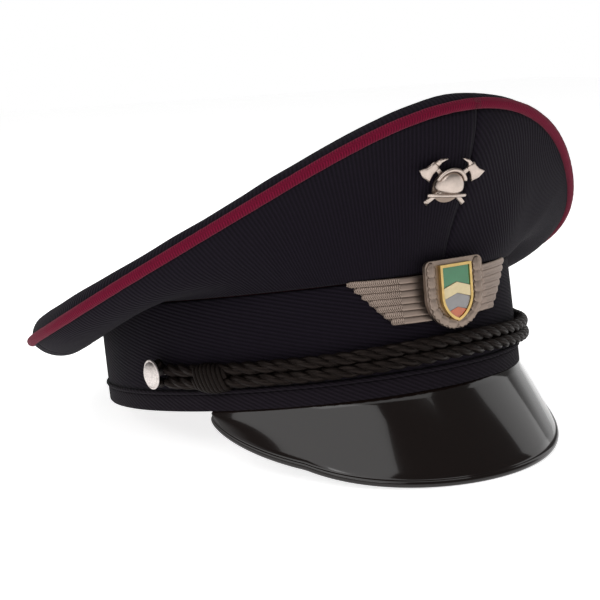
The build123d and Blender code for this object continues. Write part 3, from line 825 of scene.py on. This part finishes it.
def cad_look(names, material):
    """Gives CAD nodes of the right shape their final material."""
    for name in names:
        node = bpy.data.objects[name] if name in bpy.data.objects else frame["nodes"][name]
        node.data.materials.clear()
        node.data.materials.append(material)


cad_look(["badge_wreath", "badge_back_plate", "emblem_base"], silver)
cad_look(["badge_shield_rim"], brass)
cad_look(["badge_enamel_upper"], enamel("enamel_green", (0.02, 0.16, 0.06)))
cad_look(["badge_enamel_chevron"], enamel("enamel_cream", (0.62, 0.50, 0.27)))
cad_look(["badge_enamel_middle"], enamel("enamel_grey", (0.22, 0.21, 0.21)))
cad_look(["badge_enamel_base"], enamel("enamel_orange", (0.45, 0.09, 0.02)))
cad_look(["badge_nuts", "emblem_nut", "button_washer_left", "button_washer_right", "crown_wire"], steel)
cad_look(["crown_wire_ferrule"], brass)
cad_look(["band_stiffener"], fibre)
cad_look(["front_stiffener"], buckram)
cad_look(["front_stay"], stay_plastic)
cad_look(["sweat_shield"], film)


# ---- the emblem: a plain helmet over crossed axes --------------------------------------------
EMBLEM_TURN = -8.0


def emblem_frame():
    phi, t = -4.6, 0.62
    here = crown_side(phi, t)
    along = (crown_side(phi + 1, t) - here).normalized()
    rise = crown_side(phi, t + 0.01) - here
    face = along.cross(rise).normalized()
    rise = face.cross(along)
    turn = math.radians(EMBLEM_TURN)
    right = along * math.cos(turn) + rise * math.sin(turn)
    return right, face.cross(right), face, here


def relief(name, outline, base, height, material, nodes=()):
    """A cushion-shaped plate: an outline of (x, y) drawn in towards its middle as it rises."""
    right, up, face, here = emblem_frame()
    cx = sum(p[0] for p in outline) / len(outline)
    cy = sum(p[1] for p in outline) / len(outline)
    rows = []
    for x, y in outline:
        line = []
        for share, lift in ((1, 0), (1, 0.55), (0.93, 0.8), (0.75, 0.93), (0.4, 1.0), (0.02, 1.02)):
            a, b = cx + (x - cx) * share, cy + (y - cy) * share
            line.append(here + right * a + up * b + face * (base + height * lift))
        rows.append(line)
    return place(grid(name, rows, closed=True), material, nodes=nodes)


def turned(points, angle):
    """The same outline, turned by an angle in degrees."""
    c, s = math.cos(math.radians(angle)), math.sin(math.radians(angle))
    return [(a * c - b * s, a * s + b * c) for a, b in points]


def box_outline(width, low, high):
    """The long sides of an upright bar, from low to high."""
    half = width / 2
    return [(half, v) for v in span(low, high, 12)] + [(-half, v) for v in span(high, low, 12)]


# one plain axe, drawn upright, then mirrored and crossed: the two are alike
axe_blade = [
    (0.9, 9.0), (0.9, 12.4), (-1.0, 12.6), (-3.0, 12.9), (-5.6, 14.2),
    (-6.2, 11.0), (-5.4, 7.6), (-3.0, 8.8), (-1.0, 9.1),
]
axe_spike = [(0.9, 9.9), (3.0, 10.4), (5.6, 9.6), (3.2, 11.6), (0.9, 12.0)]
for name, angle, mirror in (("left", -47, -1), ("right", 47, 1)):
    nodes = ["emblem_axes"] if mirror > 0 else []
    shaft = turned(box_outline(1.7, -11.5, 12.6), angle)
    relief(f"axe_shaft_{name}", shaft, 1.7, 0.9, bright_silver, nodes)
    for part, outline, height in (("blade", axe_blade, 1.3), ("spike", axe_spike, 1.1)):
        mirrored = [(x * mirror, y) for x, y in outline][::mirror]
        relief(f"axe_{part}_{name}", turned(mirrored, angle), 1.7, height, bright_silver)


def helmet():
    """A plain domed helmet seen from the front, with a comb along the top and a brim."""
    right, up, face, here = emblem_frame()
    rows = []
    for turn in span(0, 2 * math.pi * 47 / 48, 48):
        line = []
        for share in span(1, 0.02, 14):
            x, y = 6.0 * math.cos(turn) * share, 6.6 * math.sin(turn) * share
            y = y if y > 0 else y * 0.35
            height = 2.6 + 3.6 * math.sqrt(max(0, 1 - share * share))
            line.append(here + right * x + up * (y - 0.8) + face * height)
        rows.append(line)
    dome = grid("helmet_dome", rows, closed=True)
    place(dome, bright_silver, nodes=["emblem_helmet"])
    comb = []
    for turn in span(25, 155, 30):
        c, s = math.cos(math.radians(turn)), math.sin(math.radians(turn))
        comb.append(here + right * 6.6 * c + up * (7.4 * s - 0.8) + face * 3.4)
    place(tube("helmet_comb", comb, 0.75, 10), bright_silver)
    brim = [
        here + right * x + up * (-3.2 - 0.02 * x * x) + face * (5.0 - 0.045 * x * x)
        for x in span(-8, 8, 30)
    ]
    brim_tube = tube("helmet_brim", brim, lambda s, a: 0.95 - 0.25 * math.sin(a) ** 2, 10)
    place(brim_tube, bright_silver)


helmet()

# ---- table, lights and camera ------------------------------------------------------------------
floor_data = bpy.data.meshes.new("table_top")
floor_data.from_pydata([(-3, -3, 0), (3, -3, 0), (3, 3, 0), (-3, 3, 0)], [], [(0, 1, 2, 3)])
floor = bpy.data.objects.new("table_top", floor_data)
bpy.context.scene.collection.objects.link(floor)
paper = Shader("white_paper", (0.8, 0.8, 0.8), 0.9, Emission_Color=(1, 1, 1, 1), Emission_Strength=0.8)
paper.bump(paper.noise(400), 0.05, 0.0001)
paper.rough(paper.noise(30), 0.85, 0.95)
floor.data.materials.append(paper.material)

world = bpy.data.worlds.new("studio")
bpy.context.scene.world = world
world.use_nodes = True
sky, wire_up = world.node_tree.nodes, world.node_tree.links
split = sky.new("ShaderNodeSeparateXYZ")
fade = sky.new("ShaderNodeMapRange")
wire_up.new(sky.new("ShaderNodeTexCoord").outputs["Generated"], split.inputs[0])
wire_up.new(split.outputs[2], fade.inputs["Value"])
for slot, value in (("From Min", 0.12), ("From Max", 0.3), ("To Min", 1.0), ("To Max", 0.16)):
    fade.inputs[slot].default_value = value
wire_up.new(fade.outputs["Result"], sky["Background"].inputs["Strength"])
sky["Background"].inputs["Color"].default_value = (1, 1, 1, 1)
bpy.context.scene.view_settings.view_transform = "Standard"

middle = CAP @ Vector((0, 0, 30))


def area_light(name, azimuth, elevation, distance, size, power):
    """A softbox aimed at the cap. azimuth 0 stands in front of the visor."""
    a, e = math.radians(azimuth), math.radians(elevation)
    way = Vector((math.sin(a) * math.cos(e), -math.cos(a) * math.cos(e), math.sin(e)))
    data = bpy.data.lights.new(name, "AREA")
    data.shape = "RECTANGLE"
    data.size, data.size_y = size
    data.energy = power
    lamp = bpy.data.objects.new(name, data)
    bpy.context.scene.collection.objects.link(lamp)
    lamp.location = middle + way * distance
    lamp.rotation_euler = way.to_track_quat("Z", "Y").to_euler()


area_light("key", -72, 48, 1.4, (1.5, 1.2), 11)
area_light("fill", 82, 24, 1.3, (0.5, 0.9), 1.6)
area_light("top", -15, 84, 1.3, (1.4, 0.9), 5)
area_light("strip", -48, 30, 1.3, (0.9, 0.05), 0.8)

# the camera, placed and turned in the cap's own frame
azimuth, elevation, roll = math.radians(-33.15), math.radians(3.82), math.radians(-6.97)
back = Vector((
    math.sin(azimuth) * math.cos(elevation), -math.cos(azimuth) * math.cos(elevation), math.sin(elevation)
))
right = Vector((math.cos(azimuth), math.sin(azimuth), 0))
above = back.cross(right)
camera_data = bpy.data.cameras.new("camera")
camera_data.lens = 81.86
camera_data.sensor_width = 36
camera = bpy.data.objects.new("camera", camera_data)
bpy.context.scene.collection.objects.link(camera)
x_axis = right * math.cos(roll) + above * math.sin(roll)
y_axis = above * math.cos(roll) - right * math.sin(roll)
turn = Matrix((x_axis, y_axis, back)).transposed().to_4x4()
stand = CAP @ Vector((-338.1, -518.3, 75.7))
camera.matrix_world = Matrix.Translation(stand) @ Matrix.Rotation(-lean, 4, "X") @ turn
bpy.context.scene.camera = camera
